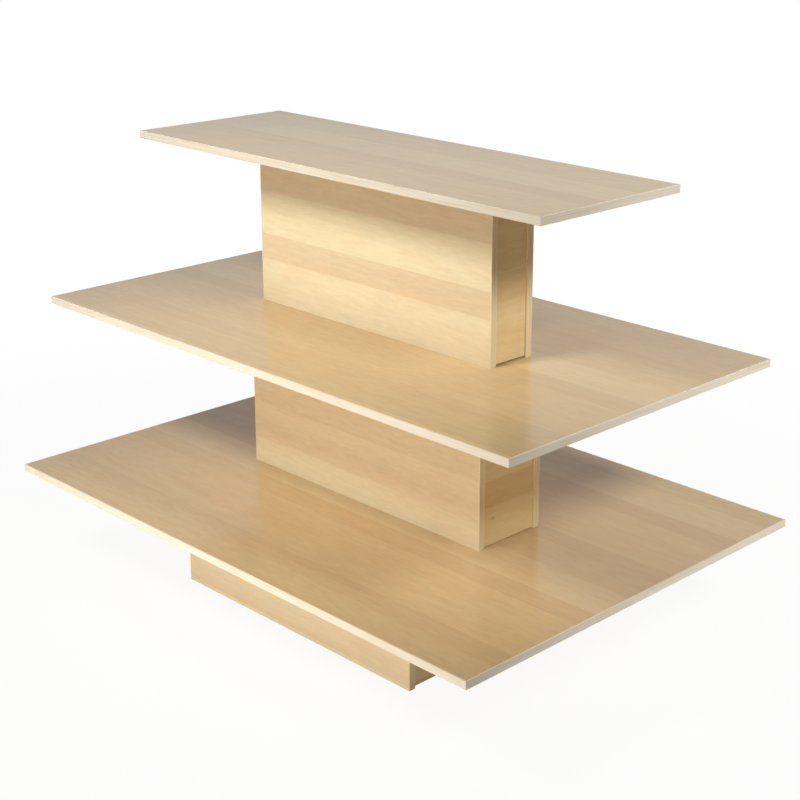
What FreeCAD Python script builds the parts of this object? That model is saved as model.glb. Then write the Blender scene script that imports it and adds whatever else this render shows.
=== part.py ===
import FreeCAD, Part
import Sketcher
import os
import re

from FreeCAD import Placement, Rotation, Vector

# Three-tier display table: three laminated decks on two narrow risers and a broad
# hollow plinth. Millimetres, +Z up, +X along the length, -Y the front. The origin is
# on the floor under the middle of the table.

SIZES = {
    # Laminated board and its edging
    "board_thickness": 18.0,
    "band_thickness": 3.0,
    "band_radius": 1.0,
    # Decks: length along X, depth along Y
    "top_deck_length": 1295.0,
    "top_deck_depth": 440.0,
    "middle_deck_length": 1525.0,
    "middle_deck_depth": 848.0,
    "bottom_deck_length": 1525.0,
    "bottom_deck_depth": 1062.0,
    # Risers and plinth: outside length, width and height of each box
    "upper_riser_length": 762.0,
    "upper_riser_width": 131.0,
    "upper_riser_height": 383.0,
    "upper_riser_end_gap": 3.5,
    "lower_riser_length": 771.0,
    "lower_riser_width": 197.0,
    "lower_riser_height": 395.0,
    "lower_riser_end_gap": 1.5,
    "plinth_length": 774.0,
    "plinth_width": 625.0,
    "plinth_height": 240.0,
    "plinth_end_gap": 2.5,
    "end_recess": 5.0,
    # Battens that the decks are screwed to
    "batten_size": 25.0,
    "batten_end_gap": 12.0,
    "deck_screw_spacing": 560.0,
    "wall_screw_spacing": 420.0,
    "end_deck_screw_spacing": 360.0,
    "end_wall_screw_spacing": 240.0,
    # Pan-head wood screw
    "screw_diameter": 4.0,
    "screw_length": 35.0,
    "screw_tip": 4.0,
    "screw_head_diameter": 8.0,
    "screw_head_height": 2.5,
    "screw_head_bevel": 1.0,
    # Cam fittings and dowels at the corners of each box
    "fitting_inset": 45.0,
    "dowel_spacing": 32.0,
    "cam_diameter": 15.0,
    "cam_height": 12.5,
    "cam_setback": 34.0,
    "bolt_diameter": 7.0,
    "bolt_overrun": 3.0,
    "bolt_thread_diameter": 5.0,
    "bolt_thread_length": 11.0,
    "dowel_diameter": 8.0,
    "dowel_in_wall": 11.0,
    "dowel_in_end": 19.0,
    "dowel_chamfer": 1.0,
    "bore_clearance": 0.1,
    "bore_end_clearance": 0.5,
    # Corner blocks and adjustable feet
    "floor_clearance": 5.0,
    "block_side": 60.0,
    "block_height": 28.0,
    "tee_nut_flange_diameter": 24.0,
    "tee_nut_flange_thickness": 1.5,
    "tee_nut_barrel_diameter": 11.0,
    "tee_nut_barrel_length": 9.0,
    "stud_diameter": 8.0,
    "stud_length": 42.0,
    "stud_chamfer": 1.0,
    "thread_clearance": 0.08,
    "collar_width": 13.0,
    "collar_height": 5.0,
    "stop_clearance": 0.3,
    "spigot_diameter": 6.0,
    "spigot_length": 3.0,
    "foot_diameter": 40.0,
    "foot_neck_diameter": 18.0,
    "foot_rim_height": 3.0,
    "foot_height": 6.0,
}

# Levels of the stack, worked up from the floor
PLINTH_TOP = "(floor_clearance + plinth_height)"
BOTTOM_DECK_TOP = f"({PLINTH_TOP} + board_thickness)"
LOWER_RISER_TOP = f"({BOTTOM_DECK_TOP} + lower_riser_height)"
MIDDLE_DECK_TOP = f"({LOWER_RISER_TOP} + board_thickness)"
UPPER_RISER_TOP = f"({MIDDLE_DECK_TOP} + upper_riser_height)"
TOP_DECK_TOP = f"({UPPER_RISER_TOP} + board_thickness)"
BLOCK_BOTTOM = "(foot_height + collar_height + stop_clearance + tee_nut_flange_thickness)"

# Screw bores: clear round the shank, and deep enough for the part that goes in
SCREW_BORE = "screw_diameter + 2 * bore_clearance"
PILOT_DEPTH = "screw_length - batten_size + bore_end_clearance"
BATTEN_PILOT_DEPTH = "screw_length - board_thickness + bore_end_clearance"

# A wall's own axes: X along it, Y up, Z outwards, with its inner face at Z = 0
SIDES = {
    "front": Rotation(Vector(1, 0, 0), Vector(0, 0, 1), Vector(0, -1, 0), "ZXY"),
    "back": Rotation(Vector(-1, 0, 0), Vector(0, 0, 1), Vector(0, 1, 0), "ZXY"),
    "left": Rotation(Vector(0, -1, 0), Vector(0, 0, 1), Vector(-1, 0, 0), "ZXY"),
    "right": Rotation(Vector(0, 1, 0), Vector(0, 0, 1), Vector(1, 0, 0), "ZXY"),
}
OPPOSITE = {"front": "back", "back": "front", "left": "right", "right": "left"}
SIGN = {"front": "-", "back": "", "left": "-", "right": ""}
LONG_SIDES = ("front", "back")
END_SIDES = ("left", "right")
CORNERS = [(long_side, end_side) for long_side in LONG_SIDES for end_side in END_SIDES]

# Lengths and places that differ by less than this are the same
SAME = 0.001

doc = FreeCAD.newDocument("tiered_display_table")
sheet = doc.addObject("Spreadsheet::Sheet", "sizes")
for row, (alias, number) in enumerate(SIZES.items(), start=1):
    sheet.set(f"A{row}", alias.replace("_", " "))
    sheet.set(f"B{row}", str(number))
    sheet.setAlias(f"B{row}", alias)
doc.recompute()

nodes = []


# ---- Ways to draw and place ---------------------------------------------------------

def bind(item, field, size):
    """Tie one property to an expression written with the sheet's aliases."""
    def in_sheet(word):
        return f"sizes.{word.group()}" if word.group() in SIZES else word.group()
    item.setExpression(field, re.sub(r"[a-z_]+", in_sheet, size))


def place(item, across, along, up):
    """Tie the three coordinates of an object's position."""
    for axis, size in zip("xyz", (across, along, up)):
        bind(item, f"Placement.Base.{axis}", size)


def node(item):
    """List an object as one sub-part, to be written under its own label."""
    nodes.append(item)
    return item


def new_body(label):
    body = doc.addObject("PartDesign::Body", label)
    body.Label = label
    return body


def sketch_on(body, role, name, lift="0"):
    """A sketch on one of the body's own origin planes, lifted along its normal."""
    sketch = body.newObject("Sketcher::SketchObject", f"{body.Label}_{name}")
    plane = next(item for item in body.Origin.OriginFeatures if item.Role == role)
    sketch.AttachmentSupport = (plane, [""])
    sketch.MapMode = "FlatFace"
    bind(sketch, "AttachmentOffset.Base.z", lift)
    return sketch


def fix(sketch, kind, where, size):
    """Add a dimension to a sketch and tie it to the sheet."""
    index = sketch.addConstraint(Sketcher.Constraint(kind, *where, 1.0))
    bind(sketch, f"Constraints[{index}]", size)


def polygon(sketch, corners):
    """Draw a closed outline whose corners are all dimensioned from the origin.

    The first points only keep the edges apart until the dimensions move them.
    """
    count = len(corners)
    points = [Vector(index, index * index, 0) for index in range(count)]
    for index in range(count):
        edge = Part.LineSegment(points[index], points[(index + 1) % count])
        sketch.addGeometry(edge, False)
    for index in range(count):
        following = (index + 1) % count
        sketch.addConstraint(Sketcher.Constraint("Coincident", index, 2, following, 1))
    for index, (across, up) in enumerate(corners):
        fix(sketch, "DistanceX", (-1, 1, index, 1), across)
        fix(sketch, "DistanceY", (-1, 1, index, 1), up)


def board(label, across, up, thickness):
    """A flat board centred on its own X and Y, with one face at Z = 0."""
    body = new_body(label)
    outline = sketch_on(body, "XY_Plane", "outline")
    left, right = f"-({across}) / 2", f"({across}) / 2"
    low, high = f"-({up}) / 2", f"({up}) / 2"
    polygon(outline, [(left, low), (right, low), (right, high), (left, high)])
    pad = body.newObject("PartDesign::Pad", f"{label}_board")
    pad.Profile = outline
    bind(pad, "Length", thickness)
    body.Tip = pad
    return body


def band(label, across, up, all_round=False):
    """An edge strip like a board, with its outer arrises rounded, and its ends on request."""
    strip = board(label, across, up, "band_thickness")
    doc.recompute()
    pad = strip.Tip
    outer_face = max(edge.CenterOfMass.z for edge in pad.Shape.Edges)
    longest = max(edge.Length for edge in pad.Shape.Edges)
    names = []
    for number, edge in enumerate(pad.Shape.Edges, start=1):
        height = edge.CenterOfMass.z
        outer_arris = edge.Length > longest - SAME and height > outer_face - SAME
        if outer_arris or (all_round and height > SAME):
            names.append(f"Edge{number}")
    rounding = strip.newObject("PartDesign::Fillet", f"{label}_rounding")
    rounding.Base = (pad, names)
    bind(rounding, "Radius", "band_radius")
    strip.Tip = rounding
    return strip


def turned(label, corners):
    """A turned piece: an outline in radius and height, revolved about +Z."""
    body = new_body(label)
    outline = sketch_on(body, "XZ_Plane", "outline")
    polygon(outline, corners)
    turn = body.newObject("PartDesign::Revolution", f"{label}_turned")
    turn.Profile = outline
    turn.ReferenceAxis = (outline, ["V_Axis"])
    turn.Angle = 360
    body.Tip = turn
    return body


def bores(body, name, role, centres, diameter, depth, lift="0", reverse=False):
    """Drill equal round bores; returns what at_bores() needs to find them again."""
    sketch = sketch_on(body, role, f"{name}_centres", lift)
    for index, (across, up) in enumerate(centres):
        sketch.addGeometry(Part.Circle(Vector(index, 0, 0), Vector(0, 0, 1), 1.0), False)
        fix(sketch, "Diameter", (index,), diameter)
        fix(sketch, "DistanceX", (-1, 1, index, 3), across)
        fix(sketch, "DistanceY", (-1, 1, index, 3), up)
    pocket = body.newObject("PartDesign::Pocket", f"{body.Label}_{name}")
    pocket.Profile = sketch
    pocket.Reversed = reverse
    bind(pocket, "Length", depth)
    body.Tip = pocket
    return body, sketch, reverse


def at_bores(drillings):
    """Placements at the mouths of the bores, with +Z pointing into the material."""
    places = []
    for body, sketch, reverse in drillings:
        turn = Rotation() if reverse else Rotation(Vector(1, 0, 0), 180)
        base = body.Placement.multiply(sketch.Placement)
        circles = [item for item in sketch.Geometry if isinstance(item, Part.Circle)]
        places.extend(base.multiply(Placement(circle.Center, turn)) for circle in circles)
    return places


def copies(label, pattern, drillings):
    """Equal loose pieces, one at the mouth of each bore, as one sub-part."""
    solids = [pattern.Shape.transformed(spot.Matrix, True) for spot in at_bores(drillings)]
    group = doc.addObject("Part::Feature", label)
    group.Label = label
    group.Shape = Part.makeCompound(solids)
    return node(group)


def compound(label, pieces):
    """Equal pieces that are placed by the sheet, as one sub-part."""
    group = doc.addObject("Part::Compound", label)
    group.Label = label
    group.Links = pieces
    return node(group)


def four_centres(across, up, shift="0"):
    """Four centres, mirrored in both axes and then shifted along the second."""
    signs = ("-", "")
    return [(f"{side}({across})", f"{level}({up}) + ({shift})") for side in signs for level in signs]


def two_centres(spacing, up="0"):
    return [(f"-({spacing}) / 2", up), (f"({spacing}) / 2", up)]


def three_centres(spacing, up="0"):
    return two_centres(spacing, up) + [("0", up)]


# ---- Decks --------------------------------------------------------------------------

def deck(name, top):
    """A laminated panel with a band on each edge; the side bands cover the corners."""
    length, depth = f"{name}_length", f"{name}_depth"
    inner_length = f"({length} - 2 * band_thickness)"
    inner_depth = f"({depth} - 2 * band_thickness)"
    under = f"{top} - board_thickness"
    panel = node(board(f"{name}_panel", inner_length, inner_depth, "board_thickness"))
    place(panel, "0", "0", under)
    for side in SIDES:
        lengthwise = side in LONG_SIDES
        reach = inner_length if lengthwise else depth
        strip = node(band(f"{name}_{side}_band", reach, "board_thickness", all_round=not lengthwise))
        strip.Placement = Placement(Vector(), SIDES[side])
        out = f"{SIGN[side]}{inner_depth if lengthwise else inner_length} / 2"
        across, along = ("0", out) if lengthwise else (out, "0")
        place(strip, across, along, f"{under} + board_thickness / 2")
    return panel


# ---- Risers and plinth --------------------------------------------------------------

bolt_bores = []
cam_bores = []
dowel_bores = []
batten_screw_bores = []
deck_screw_bores = []


def box(name, bottom):
    """Two long walls that run past two recessed end walls, and their edge bands."""
    length, width, height = f"{name}_length", f"{name}_width", f"{name}_height"
    middle = f"{bottom} + {height} / 2"
    inner_length = f"({length} - 2 * band_thickness)"
    inside_width = f"({width} - 2 * board_thickness)"
    joint = f"{length} / 2 - end_recess - board_thickness / 2"
    cam_up = f"({height} / 2 - fitting_inset)"
    dowel_up = f"({cam_up} - dowel_spacing)"
    walls = {}
    bands = []
    for side in LONG_SIDES:
        wall = node(board(f"{name}_{side}", inner_length, height, "board_thickness"))
        wall.Placement = Placement(Vector(), SIDES[side])
        place(wall, "0", f"{SIGN[side]}{inside_width} / 2", middle)
        bolt_bores.append(bores(
            wall, "bolt_bores", "XY_Plane", four_centres(joint, cam_up),
            "bolt_thread_diameter + 2 * bore_clearance",
            "bolt_thread_length + bore_end_clearance", reverse=True,
        ))
        dowel_bores.append(bores(
            wall, "dowel_bores", "XY_Plane", four_centres(joint, dowel_up),
            "dowel_diameter + 2 * bore_clearance",
            "dowel_in_wall + bore_end_clearance", reverse=True,
        ))
        walls[side] = wall
        for end in END_SIDES:
            strip = band(f"{name}_{side}_{end}_band", "board_thickness", height)
            strip.Placement = Placement(Vector(), SIDES[end])
            across = f"{SIGN[end]}{inner_length} / 2"
            along = f"{SIGN[side]}({width} - board_thickness) / 2"
            place(strip, across, along, middle)
            bands.append(strip)
    compound(f"{name}_end_bands", bands)

    # The ends stop short of what the box stands on, so they sit half the gap higher
    gap = f"{name}_end_gap"
    lowered = f"-{gap} / 2"
    cam_across = f"{inside_width} / 2 - cam_setback"
    for end in END_SIDES:
        wall = node(board(f"{name}_{end}", inside_width, f"{height} - {gap}", "board_thickness"))
        wall.Placement = Placement(Vector(), SIDES[end])
        inner_face = f"({length} / 2 - end_recess - board_thickness)"
        place(wall, f"{SIGN[end]}{inner_face}", "0", f"{middle} + {gap} / 2")
        cam_bores.append(bores(
            wall, "cam_bores", "XY_Plane", four_centres(cam_across, cam_up, lowered),
            "cam_diameter + 2 * bore_clearance", "cam_height + bore_end_clearance", reverse=True,
        ))
        for edge, sign in (("near", "-"), ("far", "")):
            inward = {"lift": f"{sign}{inside_width} / 2", "reverse": edge == "near"}
            half = "board_thickness / 2"
            bores(
                wall, f"{edge}_bolt_bores", "YZ_Plane",
                [(f"{level}{cam_up} {lowered}", half) for level in ("-", "")],
                "bolt_diameter + 2 * bore_clearance",
                "cam_setback + bolt_overrun + bore_end_clearance", **inward,
            )
            bores(
                wall, f"{edge}_dowel_bores", "YZ_Plane",
                [(f"{level}{dowel_up} {lowered}", half) for level in ("-", "")],
                "dowel_diameter + 2 * bore_clearance", "dowel_in_end + bore_end_clearance", **inward,
            )
        walls[end] = wall
    return walls


def batten(name, box_name, side, walls, bottom, at_top):
    """A square batten screwed to one wall inside a box, drilled for its deck's screws."""
    length, width, height = f"{box_name}_length", f"{box_name}_width", f"{box_name}_height"
    inside_length = f"({length} - 2 * end_recess - 2 * board_thickness)"
    inside_width = f"({width} - 2 * board_thickness)"
    if side in LONG_SIDES:
        reach = f"{inside_length} - 2 * batten_end_gap"
        deck_spacing, wall_spacing = "deck_screw_spacing", "wall_screw_spacing"
        deck_centres = three_centres(deck_spacing, "batten_size / 2")
        position = ("0", f"{SIGN[side]}{inside_width} / 2")
    else:
        reach = f"{inside_width} - 2 * batten_size - 2 * batten_end_gap"
        deck_spacing, wall_spacing = "end_deck_screw_spacing", "end_wall_screw_spacing"
        deck_centres = two_centres(deck_spacing, "batten_size / 2")
        position = (f"{SIGN[side]}{inside_length} / 2", "0")
    up = f"({height} / 2 - batten_size / 2)" if at_top else f"(batten_size / 2 - {height} / 2)"
    strip = node(board(name, reach, "batten_size", "batten_size"))
    strip.Placement = Placement(Vector(), SIDES[OPPOSITE[side]])
    place(strip, *position, f"{bottom} + {height} / 2 + {up}")
    batten_screw_bores.append(bores(
        strip, "wall_screw_bores", "XY_Plane", two_centres(wall_spacing),
        SCREW_BORE, "batten_size", lift="batten_size",
    ))
    # An end wall's centre lies half the gap above the middle of its box
    wall_up = up if side in LONG_SIDES else f"{up} - {box_name}_end_gap / 2"
    bores(
        walls[side], f"{'top' if at_top else 'bottom'}_pilot_bores", "XY_Plane",
        two_centres(wall_spacing, wall_up), SCREW_BORE, PILOT_DEPTH, reverse=True,
    )
    depth = "batten_size" if at_top else BATTEN_PILOT_DEPTH
    upward = bores(
        strip, "deck_screw_bores", "XZ_Plane", deck_centres, SCREW_BORE, depth,
        lift="batten_size / 2",
    )
    if at_top:
        deck_screw_bores.append(upward)


def deck_row(box_name, sign):
    """Screw centres in a deck, in line with one long batten of a box."""
    out = f"{sign}({box_name}_width / 2 - board_thickness - batten_size / 2)"
    return three_centres("deck_screw_spacing", out)


def fasten_from_below(panel, box_name):
    """Blind pilot bores in the underside of a deck, over the top battens of a box."""
    for side in LONG_SIDES:
        bores(
            panel, f"{side}_pilot_bores", "XY_Plane", deck_row(box_name, SIGN[side]),
            SCREW_BORE, PILOT_DEPTH, reverse=True,
        )


def fasten_through(panel, box_name):
    """Bores right through a deck, under the bottom battens of the box that it carries."""
    for side in LONG_SIDES:
        deck_screw_bores.append(bores(
            panel, f"{side}_through_bores", "XY_Plane", deck_row(box_name, SIGN[side]),
            SCREW_BORE, "board_thickness", reverse=True,
        ))


top_deck = deck("top_deck", TOP_DECK_TOP)
middle_deck = deck("middle_deck", MIDDLE_DECK_TOP)
bottom_deck = deck("bottom_deck", BOTTOM_DECK_TOP)
fasten_from_below(top_deck, "upper_riser")
fasten_from_below(middle_deck, "lower_riser")
fasten_from_below(bottom_deck, "plinth")
fasten_through(middle_deck, "upper_riser")
fasten_through(bottom_deck, "lower_riser")

for riser, bottom in (("upper_riser", MIDDLE_DECK_TOP), ("lower_riser", BOTTOM_DECK_TOP)):
    walls = box(riser, bottom)
    for side in LONG_SIDES:
        batten(f"{riser}_{side}_top_batten", riser, side, walls, bottom, at_top=True)
        batten(f"{riser}_{side}_bottom_batten", riser, side, walls, bottom, at_top=False)

plinth_walls = box("plinth", "floor_clearance")
for side in SIDES:
    batten(f"plinth_{side}_batten", "plinth", side, plinth_walls, "floor_clearance", at_top=True)
for end in END_SIDES:
    across = f"{SIGN[end]}(plinth_length / 2 - end_recess - board_thickness - batten_size / 2)"
    centres = [(across, f"{sign}end_deck_screw_spacing / 2") for sign in ("-", "")]
    bores(
        bottom_deck, f"{end}_pilot_bores", "XY_Plane", centres, SCREW_BORE, PILOT_DEPTH, reverse=True,
    )


# ---- Corner blocks and adjustable feet ----------------------------------------------

def hexagon(across_flats):
    """Corners of a regular hexagon, by its width across flats."""
    corner = f"{across_flats} / sqrt(3)"
    half = f"{corner} / 2"
    flat = f"{across_flats} / 2"
    return [
        (corner, "0"), (half, flat), (f"-{half}", flat),
        (f"-{corner}", "0"), (f"-{half}", f"-{flat}"), (half, f"-{flat}"),
    ]


def stud(label):
    """A threaded stud with a spanner collar and a spigot that turns in the foot."""
    spigot, stem = "spigot_diameter / 2", "stud_diameter / 2"
    top = "(foot_height + collar_height + stud_length)"
    body = turned(label, [
        ("0", "foot_height - spigot_length"),
        (spigot, "foot_height - spigot_length"),
        (spigot, "foot_height"),
        (stem, "foot_height"),
        (stem, f"{top} - stud_chamfer"),
        (f"{stem} - stud_chamfer", top),
        ("0", top),
    ])
    outline = sketch_on(body, "XY_Plane", "collar_outline", "foot_height")
    polygon(outline, hexagon("collar_width"))
    collar = body.newObject("PartDesign::Pad", f"{label}_collar")
    collar.Profile = outline
    bind(collar, "Length", "collar_height")
    body.Tip = collar
    return body


def foot(label):
    """A round foot whose top is bored for the spigot of its stud."""
    rim, neck = "foot_diameter / 2", "foot_neck_diameter / 2"
    socket = "(spigot_diameter / 2 + thread_clearance)"
    floor = "(foot_height - spigot_length - stop_clearance)"
    return turned(label, [
        ("0", "0"), (rim, "0"), (rim, "foot_rim_height"), (neck, "foot_height"),
        (socket, "foot_height"), (socket, floor), ("0", floor),
    ])


blocks = []
block_bores = []
for long_side, end in CORNERS:
    corner = f"{long_side}_{end}"
    across = f"{SIGN[end]}(plinth_length / 2 - end_recess - board_thickness - block_side / 2)"
    along = f"{SIGN[long_side]}(plinth_width / 2 - board_thickness - block_side / 2)"
    block = board(f"{corner}_block", "block_side", "block_side", "block_height")
    place(block, across, along, BLOCK_BOTTOM)
    block_bores.append(bores(
        block, "tee_nut_bore", "XY_Plane", [("0", "0")],
        "tee_nut_barrel_diameter + 2 * bore_clearance", "block_height", reverse=True,
    ))
    blocks.append(block)
    for piece in (node(stud(f"{corner}_stud")), node(foot(f"{corner}_foot"))):
        place(piece, across, along, "0")
compound("plinth_corner_blocks", blocks)


# ---- Loose fittings -----------------------------------------------------------------

screw_radius, head_radius = "screw_diameter / 2", "screw_head_diameter / 2"
screw = turned("screw_pattern", [
    ("0", "-screw_head_height"),
    (f"{head_radius} - screw_head_bevel", "-screw_head_height"),
    (head_radius, "0"),
    (screw_radius, "0"),
    (screw_radius, "screw_length - screw_tip"),
    ("0", "screw_length"),
])
bolt_radius, thread_radius = "bolt_diameter / 2", "bolt_thread_diameter / 2"
cam_bolt = turned("cam_bolt_pattern", [
    ("0", "-(cam_setback + bolt_overrun)"),
    (bolt_radius, "-(cam_setback + bolt_overrun)"),
    (bolt_radius, "0"),
    (thread_radius, "0"),
    (thread_radius, "bolt_thread_length"),
    ("0", "bolt_thread_length"),
])
dowel_radius = "dowel_diameter / 2"
dowel = turned("dowel_pattern", [
    ("0", "-dowel_in_end"),
    (f"{dowel_radius} - dowel_chamfer", "-dowel_in_end"),
    (dowel_radius, "dowel_chamfer - dowel_in_end"),
    (dowel_radius, "dowel_in_wall - dowel_chamfer"),
    (f"{dowel_radius} - dowel_chamfer", "dowel_in_wall"),
    ("0", "dowel_in_wall"),
])
cam = turned("cam_pattern", [
    ("0", "0"), ("cam_diameter / 2", "0"), ("cam_diameter / 2", "cam_height"), ("0", "cam_height"),
])
bores(
    cam, "bolt_way", "YZ_Plane", [("0", "board_thickness / 2")],
    "bolt_diameter + 2 * bore_clearance", "cam_diameter", lift="cam_diameter / 2",
)
nut_bore = "(stud_diameter / 2 + thread_clearance)"
tee_nut = turned("tee_nut_pattern", [
    (nut_bore, "-tee_nut_flange_thickness"),
    ("tee_nut_flange_diameter / 2", "-tee_nut_flange_thickness"),
    ("tee_nut_flange_diameter / 2", "0"),
    ("tee_nut_barrel_diameter / 2", "0"),
    ("tee_nut_barrel_diameter / 2", "tee_nut_barrel_length"),
    (nut_bore, "tee_nut_barrel_length"),
])
doc.recompute()

copies("batten_screws", screw, batten_screw_bores)
copies("deck_screws", screw, deck_screw_bores)
copies("cam_bolts", cam_bolt, bolt_bores)
copies("cam_discs", cam, cam_bores)
copies("dowels", dowel, dowel_bores)
copies("tee_nuts", tee_nut, block_bores)
doc.recompute()


# ---- Checks and files ---------------------------------------------------------------

for item in doc.Objects:
    if {"Invalid", "Error"} & set(item.State):
        raise RuntimeError(f"{item.Label} did not recompute: {item.State}")
    if item.TypeId == "PartDesign::Pocket":
        removed = item.BaseFeature.Shape.Volume - item.Shape.Volume
        if removed <= 0:
            raise RuntimeError(f"{item.Label} removes nothing")
for item in nodes:
    if item.Shape.isNull() or not item.Shape.isValid():
        raise RuntimeError(f"{item.Label} has no valid shape")

os.makedirs("parts", exist_ok=True)
for item in nodes:
    item.Shape.exportStep(f"parts/{item.Label}.step")
    print(item.Label, len(item.Shape.Solids), round(item.Shape.Volume))
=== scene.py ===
import math

import bpy
from mathutils import Matrix, Vector

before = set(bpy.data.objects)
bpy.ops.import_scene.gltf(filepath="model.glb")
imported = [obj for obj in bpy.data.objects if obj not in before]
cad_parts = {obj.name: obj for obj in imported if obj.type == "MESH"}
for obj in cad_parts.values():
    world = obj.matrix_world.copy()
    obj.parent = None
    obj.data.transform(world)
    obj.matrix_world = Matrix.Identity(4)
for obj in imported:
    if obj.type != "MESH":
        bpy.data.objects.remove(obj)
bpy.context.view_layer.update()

# Tiered display table. Metres, +Z up, +X along the decks, -Y the front. The boards'
# own shapes are the finished shapes, so this file gives them their surfaces.

MM = 0.001


# ---- Colour and nodes ---------------------------------------------------------------

def linear(hex_colour):
    """An sRGB hex colour as the linear RGBA that the shaders work in."""
    channels = [int(hex_colour[place:place + 2], 16) / 255 for place in (1, 3, 5)]
    return [c / 12.92 if c <= 0.04045 else ((c + 0.055) / 1.055) ** 2.4 for c in channels] + [1.0]


def add(tree, kind, inputs=(), stops=(), **settings):
    """Add one node with its settings, its colour stops and its inputs.

    The inputs go by name or in order. Each is a plain value, a socket to link, or a
    node, which stands for its first output.
    """
    made = tree.nodes.new(kind)
    for name, value in settings.items():
        setattr(made, name, value)
    if stops:
        elements = made.color_ramp.elements
        while len(elements) < len(stops):
            elements.new(1.0)
        for element, (position, colour) in zip(elements, stops):
            element.position = position
            element.color = linear(colour)
    if not isinstance(inputs, dict):
        inputs = dict(enumerate(inputs))
    for socket, value in inputs.items():
        if isinstance(value, bpy.types.Node):
            value = value.outputs[0]
        if isinstance(value, bpy.types.NodeSocket):
            tree.links.new(value, made.inputs[socket])
        else:
            made.inputs[socket].default_value = value
    return made


def new_material(name):
    """A material and its node tree, still empty."""
    material = bpy.data.materials.new(name)
    material.use_nodes = True
    material.node_tree.nodes.clear()
    return material, material.node_tree


def grain_coordinates(tree, along, across):
    """Millimetres along the grain, across it and through the board, as one vector."""
    place = add(tree, "ShaderNodeTexCoord").outputs["Object"]
    axes = add(tree, "ShaderNodeSeparateXYZ", [place]).outputs
    through = next(axis for axis in "XYZ" if axis not in (along, across))
    turned = add(tree, "ShaderNodeCombineXYZ", [axes[along], axes[across], axes[through]])
    return add(tree, "ShaderNodeVectorMath", {0: turned, "Scale": 1 / MM}, operation="SCALE")


def streaks(tree, grain, length, width, detail=3.0, seed=0.0, distortion=0.0):
    """Noise from 0 to 1, drawn out along the grain into marks of this size in mm."""
    stretched = add(tree, "ShaderNodeVectorMath", [
        grain, (1 / length, 1 / width, 1 / width), (0.0, 0.0, seed),
    ], operation="MULTIPLY_ADD")
    return add(tree, "ShaderNodeTexNoise", {
        "Vector": stretched, "Scale": 1.0, "Detail": detail,
        "Roughness": 0.55, "Distortion": distortion,
    })


# ---- Materials ----------------------------------------------------------------------

# The printed decor repeats every 502 mm across the grain: five staves, by their widths
STAVE_WIDTHS = (103, 62, 183, 57, 97)
REPEAT = sum(STAVE_WIDTHS)
# A stave is made up of blocks end to end, shifted from stave to stave by up to this many
BLOCK_LENGTH = 640
STAGGER = 5

# One laminate in three palettes, one for each kind of face. The long walls' is painted paler, as painted
# light, and the ends' deeper and more golden, as painted shade.
DECK_TONES = ("#C9B085", "#C1A67B", "#C6AB7F", "#C1A67B", "#C4AA7E")
WALL_TONES_PAINTED_LIGHT = ("#E5D7B1", "#DECAA4", "#E5D5B0", "#DECAA4", "#E4D1AC")
END_TONES_PAINTED_SHADE = ("#E3CE9C", "#DBC08C", "#E2C996", "#DBC08C", "#E0C692")

# What a stave's tone is multiplied by, and how far each kind of mark shifts that
MEAN_TONE = 1.02
RING_SHIFT, MOTTLE_SHIFT, PORE_SHIFT, BLOCK_SHIFT = -0.08, 0.22, -0.13, 0.05
# Where in its noise the pink blush sets in, and how fast it deepens from there
BLUSH_START, BLUSH_SLOPE = 0.44, 0.8
BLUSH_TINT = "#FFE6D4"
# Added to a board's seed, so that its kinds of marks don't fall on each other
MOTTLE_SEED, PORE_SEED, BLUSH_SEED = 7, 13, 21

# A knot's width over its length
KNOT_SLIMNESS = 0.6

# The upright bands are the same band as the decks' bands, with a palette painted brighter and more golden,
# as painted light on the ends' strips
DECK_BAND_TONES = ("#D8C9AC", "#DFD3BC", "#E5DBC8")
UPRIGHT_BAND_TONES_PAINTED_LIGHT = ("#DDC79C", "#E4D1A7", "#EADAB5")
PINE_EARLY, PINE_LATE = "#DDBD84", "#C79A5C"
# Added to a planed wood's seed for its fibres
FIBRE_SEED = 3


def decor_staves(tree, grain, start, tones, seed):
    """The staves' colours, and for each block of a stave a shade from 0 to 1."""
    lengthwise, crosswise, _ = add(tree, "ShaderNodeSeparateXYZ", [grain]).outputs

    # Staves run from `start` towards the front or the floor
    repeats = add(tree, "ShaderNodeMath", [
        crosswise, -1 / REPEAT, start / REPEAT,
    ], operation="MULTIPLY_ADD")
    phase = add(tree, "ShaderNodeMath", [repeats], operation="FRACT")
    edges = [sum(STAVE_WIDTHS[:count]) / REPEAT for count in range(len(STAVE_WIDTHS))]
    colours = add(tree, "ShaderNodeValToRGB", [phase], list(zip(edges, tones)))
    colours.color_ramp.interpolation = "CONSTANT"

    # The staves are numbered by the edges that lie before them
    repeat = add(tree, "ShaderNodeMath", [repeats], operation="FLOOR")
    stave = add(tree, "ShaderNodeMath", [repeat, len(edges)], operation="MULTIPLY")
    for edge in edges:
        passed = add(tree, "ShaderNodeMath", [phase, edge], operation="GREATER_THAN")
        stave = add(tree, "ShaderNodeMath", [stave, passed], operation="ADD")

    draw = add(tree, "ShaderNodeMath", [stave, seed], operation="ADD")
    stagger = add(tree, "ShaderNodeTexWhiteNoise", {"W": draw}, noise_dimensions="1D")
    shift = add(tree, "ShaderNodeMath", [stagger, STAGGER], operation="MULTIPLY")
    blocks = add(tree, "ShaderNodeMath", [
        lengthwise, 1 / BLOCK_LENGTH, shift,
    ], operation="MULTIPLY_ADD")
    block = add(tree, "ShaderNodeMath", [blocks], operation="FLOOR")
    block_in_stave = add(tree, "ShaderNodeCombineXYZ", [stave, block, seed])
    return colours, add(tree, "ShaderNodeTexWhiteNoise", {"Vector": block_in_stave})


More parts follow.
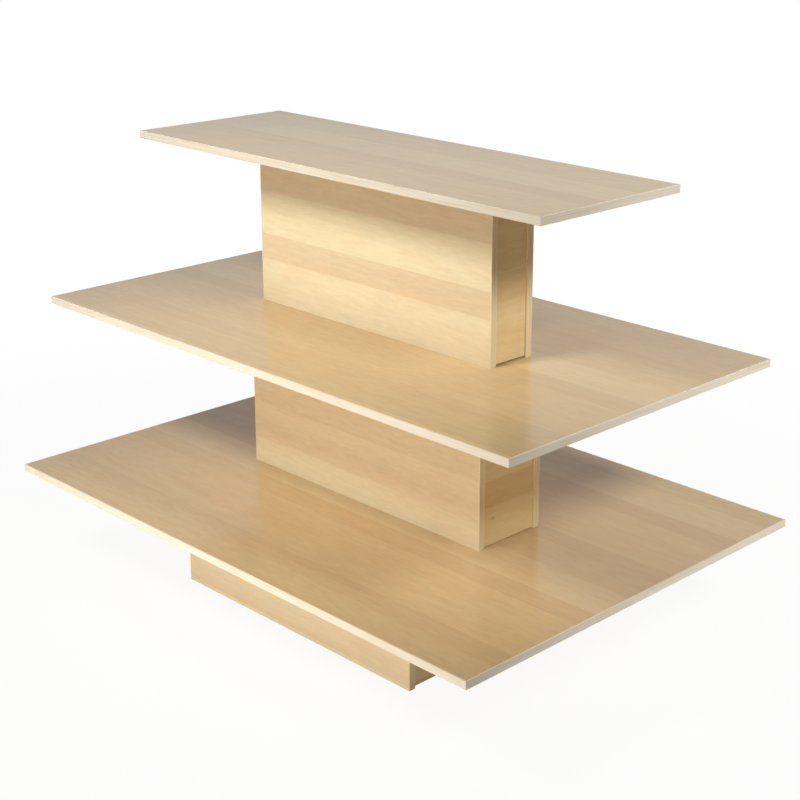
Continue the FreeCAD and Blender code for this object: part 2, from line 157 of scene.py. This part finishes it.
def pin_knot(tree, grain, lengthwise, crosswise, width):
    """1 at the heart of a small knot and 0 beyond its rim. Its place and width are in mm."""
    off = add(tree, "ShaderNodeVectorMath", [
        grain, (KNOT_SLIMNESS, 1.0, 0.0), (-KNOT_SLIMNESS * lengthwise, -crosswise, 0.0),
    ], operation="MULTIPLY_ADD")
    away = add(tree, "ShaderNodeVectorMath", [off], operation="LENGTH").outputs["Value"]
    return add(tree, "ShaderNodeMapRange", {
        "Value": away, "From Max": width / 2, "To Min": 1.0, "To Max": 0.0,
    }, interpolation_type="SMOOTHSTEP")


def woodgrain_laminate(name, along, across, start, tones, seed, knots=()):
    """Melamine laminate printed as maple staves, pressed against a satin plate.

    It gives broad staves with straight edges and small shifts of tone, a soft mottled
    figure along the grain, and a satin gloss that mirrors whatever stands on it.
    """
    material, tree = new_material(name)
    grain = grain_coordinates(tree, along, across)
    staves, block_shade = decor_staves(tree, grain, start, tones, seed)

    # Growth rings: slow wavering bands within a stave
    rings = streaks(tree, grain, length=240, width=15, detail=2.0, seed=seed, distortion=0.8)
    # Mottle: the soft flecks of maple, and the ray marks between them
    mottle = streaks(tree, grain, length=48, width=9, seed=seed + MOTTLE_SEED, distortion=0.5)
    # Pores are 0.1 mm wide on real maple and are drawn 2.5 mm wide, so that they show
    pores = streaks(tree, grain, length=30, width=2.5, detail=2.0, seed=seed + PORE_SEED)
    # Blush: patches where the wood runs pinker
    blush = streaks(
        tree, grain, length=230, width=40, detail=2.0, seed=seed + BLUSH_SEED, distortion=0.8,
    )

    pinkness = add(tree, "ShaderNodeMath", [
        blush, BLUSH_SLOPE, -BLUSH_SLOPE * BLUSH_START,
    ], operation="MULTIPLY_ADD")
    # A Mix node's colours are its inputs 6 and 7 and its output 2
    blushed = add(tree, "ShaderNodeMix", {
        0: pinkness, 6: staves, 7: linear(BLUSH_TINT),
    }, data_type="RGBA", blend_type="MULTIPLY", clamp_factor=True).outputs[2]

    # The marks run from 0 to 1, so half of each shift comes off the mean first
    shifts = (
        (rings, RING_SHIFT), (mottle, MOTTLE_SHIFT), (pores, PORE_SHIFT), (block_shade, BLOCK_SHIFT),
    )
    tone = MEAN_TONE - sum(shift for _, shift in shifts) / 2
    for marks, shift in shifts:
        tone = add(tree, "ShaderNodeMath", [marks, shift, tone], operation="MULTIPLY_ADD")
    for lengthwise, crosswise, width, darkening in knots:
        heart = pin_knot(tree, grain, lengthwise, crosswise, width)
        tone = add(tree, "ShaderNodeMath", [heart, -darkening, tone], operation="MULTIPLY_ADD")

    shader = add(tree, "ShaderNodeBsdfPrincipled", {
        "Base Color": add(tree, "ShaderNodeVectorMath", {0: blushed, "Scale": tone}, operation="SCALE"),
        "Roughness": add(tree, "ShaderNodeMapRange", {"Value": pores, "To Min": 0.15, "To Max": 0.23}),
        "IOR": 1.5,
        "Normal": add(tree, "ShaderNodeBump", {"Strength": 0.06, "Distance": 0.1 * MM, "Height": pores}),
    })
    add(tree, "ShaderNodeOutputMaterial", {"Surface": shader})
    return material


def edge_band(name, along, across, tones, seed):
    """Extruded ABS edge band, printed pale maple and satin.

    It gives the boards a light, nearly plain outline with faint streaks along it.
    """
    material, tree = new_material(name)
    grain = grain_coordinates(tree, along, across)
    marks = streaks(tree, grain, length=160, width=3, detail=2.0, seed=seed)
    shader = add(tree, "ShaderNodeBsdfPrincipled", {
        "Base Color": add(tree, "ShaderNodeValToRGB", [marks], list(zip((0.3, 0.5, 0.7), tones))),
        "Roughness": add(tree, "ShaderNodeMapRange", {"Value": marks, "To Min": 0.3, "To Max": 0.4}),
        "IOR": 1.5,
    })
    add(tree, "ShaderNodeOutputMaterial", {"Surface": shader})
    return material


def planed_wood(name, along, across, early, late, ring_width, seed):
    """Softwood or beech, planed or turned.

    It gives a matt surface with growth rings along it and a fine fibrous nap.
    """
    material, tree = new_material(name)
    grain = grain_coordinates(tree, along, across)
    rings = streaks(
        tree, grain, length=60 * ring_width, width=ring_width, seed=seed, distortion=0.4,
    )
    # Fibres are 0.03 mm wide on real wood and are drawn 0.6 mm wide, so that they show
    fibres = streaks(tree, grain, length=20, width=0.6, detail=2.0, seed=seed + FIBRE_SEED)
    colours = add(tree, "ShaderNodeValToRGB", [rings], [(0.35, early), (0.65, late)])
    tone = add(tree, "ShaderNodeMapRange", {"Value": fibres, "To Min": 0.88, "To Max": 1.12})
    shader = add(tree, "ShaderNodeBsdfPrincipled", {
        "Base Color": add(tree, "ShaderNodeVectorMath", {0: colours, "Scale": tone}, operation="SCALE"),
        "Roughness": add(tree, "ShaderNodeMapRange", {"Value": rings, "To Min": 0.68, "To Max": 0.58}),
        "IOR": 1.5,
        "Normal": add(tree, "ShaderNodeBump", {"Strength": 0.3, "Distance": 0.15 * MM, "Height": fibres}),
    })
    add(tree, "ShaderNodeOutputMaterial", {"Surface": shader})
    return material


def cloudy_metal(name, dark, light, cloud_size, roughness):
    """A bare metal whose tone and gloss shift in clouds of this size in mm."""
    material, tree = new_material(name)
    place = add(tree, "ShaderNodeTexCoord").outputs["Object"]
    clouds = add(tree, "ShaderNodeTexNoise", {
        "Vector": place, "Scale": 1 / (cloud_size * MM), "Detail": 4.0,
    })
    shader = add(tree, "ShaderNodeBsdfPrincipled", {
        "Base Color": add(tree, "ShaderNodeValToRGB", [clouds], [(0.35, dark), (0.65, light)]),
        "Metallic": 1.0,
        "Roughness": add(tree, "ShaderNodeMapRange", {
            "Value": clouds, "To Min": roughness, "To Max": roughness + 0.15,
        }),
        "Normal": add(tree, "ShaderNodeBump", {"Strength": 0.2, "Distance": 0.05 * MM, "Height": clouds}),
    })
    add(tree, "ShaderNodeOutputMaterial", {"Surface": shader})
    return material


def moulded_nylon(name):
    """Black nylon from a spark-eroded mould. It gives a fine matt stipple."""
    material, tree = new_material(name)
    place = add(tree, "ShaderNodeTexCoord").outputs["Object"]
    # Eroded pits are 0.1 mm wide on a real foot and are drawn 0.8 mm wide, so that they show
    stipple = add(tree, "ShaderNodeTexNoise", {
        "Vector": place, "Scale": 1 / (0.8 * MM), "Detail": 2.0,
    })
    shader = add(tree, "ShaderNodeBsdfPrincipled", {
        "Base Color": add(tree, "ShaderNodeValToRGB", [stipple], [(0.3, "#18191B"), (0.7, "#232427")]),
        "Roughness": add(tree, "ShaderNodeMapRange", {"Value": stipple, "To Min": 0.5, "To Max": 0.6}),
        "IOR": 1.53,
        "Normal": add(tree, "ShaderNodeBump", {"Strength": 0.35, "Distance": 0.05 * MM, "Height": stipple}),
    })
    add(tree, "ShaderNodeOutputMaterial", {"Surface": shader})
    return material


# ---- Finishes of the nodes ----------------------------------------------------------

def finish_node(node, material):
    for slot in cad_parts[node].material_slots:
        slot.material = material


# Where the decor's repeat starts on each deck, in mm along Y
DECKS = {"top": 88, "middle": 92, "bottom": -46}
# The same on each box, in mm above the floor: on its long walls and on its ends
BOXES = {"upper_riser": (949, 984), "lower_riser": (328, 520), "plinth": (180, 120)}
# Small knots in the print of a wall: place along it and above the floor, width, darkening
KNOTS = {"lower_riser_right": ((-51, 326, 13, 0.34), (-39, 390, 9, 0.12))}
# The seeds of the first long walls' and ends' marks, and the step from deck to deck or box to box
WALL_SEED, END_SEED, SEED_STEP = 70, 140, 20

for count, (deck, start) in enumerate(DECKS.items()):
    finish_node(f"{deck}_deck_panel", woodgrain_laminate(
        f"maple_laminate_{deck}_deck", "X", "Y", start, DECK_TONES, count * SEED_STEP,
    ))
for count, (box, (start, end_start)) in enumerate(BOXES.items()):
    # The long walls take the paler palette, painted light
    for wall in (f"{box}_front", f"{box}_back"):
        finish_node(wall, woodgrain_laminate(
            f"maple_laminate_{wall}", "X", "Z", start, WALL_TONES_PAINTED_LIGHT, WALL_SEED + count * SEED_STEP,
        ))
    # The ends take the deeper, more golden palette, painted shade
    for wall in (f"{box}_left", f"{box}_right"):
        finish_node(wall, woodgrain_laminate(
            f"maple_laminate_{wall}", "Y", "Z", end_start, END_TONES_PAINTED_SHADE, END_SEED + count * SEED_STEP,
            KNOTS.get(wall, ()),
        ))

bands_lengthwise = edge_band("maple_edge_band_lengthwise", "X", "Z", DECK_BAND_TONES, seed=3)
bands_across = edge_band("maple_edge_band_across", "Y", "Z", DECK_BAND_TONES, seed=5)
# The upright bands take the brighter palette, painted light
bands_upright_painted_light = edge_band("maple_edge_band_upright_painted_light", "Z", "Y", UPRIGHT_BAND_TONES_PAINTED_LIGHT, seed=9)
pine_lengthwise = planed_wood(
    "planed_pine_lengthwise", "X", "Z", PINE_EARLY, PINE_LATE, ring_width=5, seed=1,
)
pine_across = planed_wood(
    "planed_pine_across", "Y", "Z", PINE_EARLY, PINE_LATE, ring_width=5, seed=4,
)
beech = planed_wood("turned_beech", "Y", "Z", "#D9B48A", "#C4976A", ring_width=3, seed=8)
# Bright zinc plate on steel gives a bluish mirror with faint clouds
zinc_plate = cloudy_metal(
    "bright_zinc_plate", "#B9BDC2", "#D5D8DA", cloud_size=2.0, roughness=0.24,
)
# Die-cast zinc as it leaves the mould gives a duller grey with smaller clouds
cast_zinc = cloudy_metal("die_cast_zinc", "#8F9295", "#ABAEB0", cloud_size=0.8, roughness=0.42)
nylon = moulded_nylon("black_nylon")

# The finish of every other node, by how its name ends
FINISHES = {
    ("_deck_front_band", "_deck_back_band"): bands_lengthwise,
    ("_deck_left_band", "_deck_right_band"): bands_across,
    ("_end_bands",): bands_upright_painted_light,
    ("_top_batten", "_bottom_batten"): pine_lengthwise,
    ("plinth_front_batten", "plinth_back_batten", "_corner_blocks"): pine_lengthwise,
    ("plinth_left_batten", "plinth_right_batten"): pine_across,
    ("dowels",): beech,
    ("_screws", "_bolts", "_nuts", "_stud"): zinc_plate,
    ("cam_discs",): cast_zinc,
    ("_foot",): nylon,
}
for endings, material in FINISHES.items():
    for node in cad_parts:
        if node.endswith(endings):
            finish_node(node, material)


# ---- Floor and backdrop -------------------------------------------------------------

WHITE = linear("#FFFFFF")
FLOOR_WIDTH = 16.0
FLOOR_DROP = 0.5 * MM
# The paper's glow to the eye beside the table, and the distances over which it turns white
FLOOR_GLOW = 0.93
FADE_START, FADE_END = 0.9, 2.4
# The shares of the paper's and the backdrop's white that a gloss mirrors and a shade gets
FLOOR_IN_GLOSS = 0.3
FLOOR_BOUNCE = 0.18
BACKDROP_IN_GLOSS = 0.76
FILL = 0.06


def seen_directly(tree, in_gloss):
    """1 for the rays that show a surface to the eye, and its share in a gloss."""
    rays = add(tree, "ShaderNodeLightPath").outputs
    seen = add(tree, "ShaderNodeMath", [
        rays["Is Camera Ray"], rays["Is Transmission Ray"],
    ], operation="MAXIMUM")
    mirrored = add(tree, "ShaderNodeMath", [rays["Is Glossy Ray"], in_gloss], operation="MULTIPLY")
    return add(tree, "ShaderNodeMath", [seen, mirrored], operation="MAXIMUM")


def white_paper(name):
    """White paper as a floor. It glows to the eye, takes a soft shadow, and is clear from below."""
    material, tree = new_material(name)
    matt = add(tree, "ShaderNodeBsdfDiffuse", {"Color": linear("#F2F2F2")})
    glow = add(tree, "ShaderNodeEmission", {"Color": WHITE, "Strength": 1.0})

    # Beyond the table's shadow the paper fades into the white backdrop
    place = add(tree, "ShaderNodeTexCoord").outputs["Object"]
    away = add(tree, "ShaderNodeVectorMath", [place], operation="LENGTH").outputs["Value"]
    fade = add(tree, "ShaderNodeMapRange", {
        "Value": away, "From Min": FADE_START, "From Max": FADE_END, "To Min": FLOOR_GLOW, "To Max": 1.0,
    })
    shown = add(tree, "ShaderNodeMath", [
        seen_directly(tree, FLOOR_IN_GLOSS), fade,
    ], operation="MULTIPLY")
    glowing = add(tree, "ShaderNodeMath", [shown, FLOOR_BOUNCE], operation="MAXIMUM")
    lit = add(tree, "ShaderNodeMixShader", [glowing, matt, glow])

    underside = add(tree, "ShaderNodeNewGeometry").outputs["Backfacing"]
    clear = add(tree, "ShaderNodeBsdfTransparent")
    paper = add(tree, "ShaderNodeMixShader", [underside, lit, clear])
    add(tree, "ShaderNodeOutputMaterial", {"Surface": paper})
    return material


half = FLOOR_WIDTH / 2
corners = ((-half, -half), (half, -half), (half, half), (-half, half))
floor_mesh = bpy.data.meshes.new("floor")
floor_mesh.from_pydata([(x, y, -FLOOR_DROP) for x, y in corners], [], [(0, 1, 2, 3)])
floor = bpy.data.objects.new("floor", floor_mesh)
bpy.context.scene.collection.objects.link(floor)
floor_mesh.materials.append(white_paper("white_paper_floor"))

world = bpy.data.worlds.new("white_studio")
bpy.context.scene.world = world
world.use_nodes = True
studio = world.node_tree
studio.nodes.clear()
fill = add(studio, "ShaderNodeBackground", {"Color": WHITE, "Strength": FILL})
backdrop = add(studio, "ShaderNodeBackground", {"Color": WHITE, "Strength": 1.0})
seen = add(studio, "ShaderNodeMixShader", [
    seen_directly(studio, BACKDROP_IN_GLOSS), fill, backdrop,
])
add(studio, "ShaderNodeOutputWorld", {"Surface": seen})


# ---- Lamps --------------------------------------------------------------------------

def softbox(name, place, target, size, watts, spread, colour="#FFFFFF"):
    """A rectangular studio lamp turned to a target. Its grid holds the light to the spread,
    in degrees.
    """
    light = bpy.data.lights.new(name, "AREA")
    light.shape = "RECTANGLE"
    light.size, light.size_y = size
    light.energy = watts
    light.spread = math.radians(spread)
    light.color = linear(colour)[:3]
    lamp = bpy.data.objects.new(name, light)
    bpy.context.scene.collection.objects.link(lamp)
    lamp.location = place
    lamp.rotation_mode = "QUATERNION"
    lamp.rotation_quaternion = (Vector(target) - Vector(place)).to_track_quat("-Z", "Y")
    lamp.visible_camera = False


softbox(
    "front_softbox", (-0.4, -2.45, 3.05), (-0.12, -0.05, 0.4), size=(0.8, 0.8), watts=12.7, spread=62,
)
softbox(
    "right_softbox", (3.3, -0.2, 3.15), (0.62, 0.8, 0.54), size=(0.8, 0.8), watts=13.1, spread=52,
)

# Warm white cards throw light on the upright faces
CARD = "#FFF5EB"
# Two stand low in front and shine up at the plinth and the lower riser
softbox(
    "floor_card", (-0.1, -1.35, 0.05), (0.0, 0.0, 0.45), size=(2.2, 0.5), watts=5.0, spread=120,
    colour=CARD,
)
softbox(
    "low_card", (-0.1, -3.0, 0.35), (0.0, 0.0, 0.35), size=(3.0, 0.6), watts=4.8, spread=60,
    colour=CARD,
)
# A narrow one faces the lower riser's right end
softbox(
    "end_card", (1.6, 0.1, 0.48), (0.38, 0.1, 0.46), size=(0.8, 0.12), watts=0.16, spread=40,
    colour=CARD,
)
# One behind and one on the left keep those sides from going dull
softbox(
    "back_card", (-0.5, 3.0, 0.35), (-0.1, 0.0, 0.5), size=(1.7, 0.6), watts=6.0, spread=60,
    colour=CARD,
)
softbox(
    "left_card", (-3.2, 0.3, 0.35), (-0.38, 0.0, 0.5), size=(1.6, 0.6), watts=3.5, spread=60,
    colour=CARD,
)


# ---- Camera -------------------------------------------------------------------------

# Turned to the left, tilted down and rolled by these angles, in degrees
YAW, PITCH, ROLL = 44.41, 16.64, 0.40
CAMERA_PLACE = (2.6120, -2.4735, 1.7652)
SENSOR_WIDTH, FOCAL_LENGTH = 36.0, 72.77
SHIFT_X, SHIFT_Y = -0.06, -0.10

yaw, pitch, roll = (math.radians(angle) for angle in (YAW, PITCH, ROLL))
forward = Vector((
    -math.sin(yaw) * math.cos(pitch), math.cos(yaw) * math.cos(pitch), -math.sin(pitch),
))
level_right = Vector((math.cos(yaw), math.sin(yaw), 0.0))
level_up = level_right.cross(forward)
right = math.cos(roll) * level_right + math.sin(roll) * level_up
up = math.cos(roll) * level_up - math.sin(roll) * level_right

lens = bpy.data.cameras.new("camera")
lens.sensor_width = SENSOR_WIDTH
lens.lens = FOCAL_LENGTH
lens.shift_x = SHIFT_X
lens.shift_y = SHIFT_Y
camera = bpy.data.objects.new("camera", lens)
bpy.context.scene.collection.objects.link(camera)
turn = Matrix((right, up, -forward)).transposed().to_4x4()
camera.matrix_world = Matrix.Translation(CAMERA_PLACE) @ turn
bpy.context.scene.camera = camera

bpy.context.scene.view_settings.view_transform = "Standard"
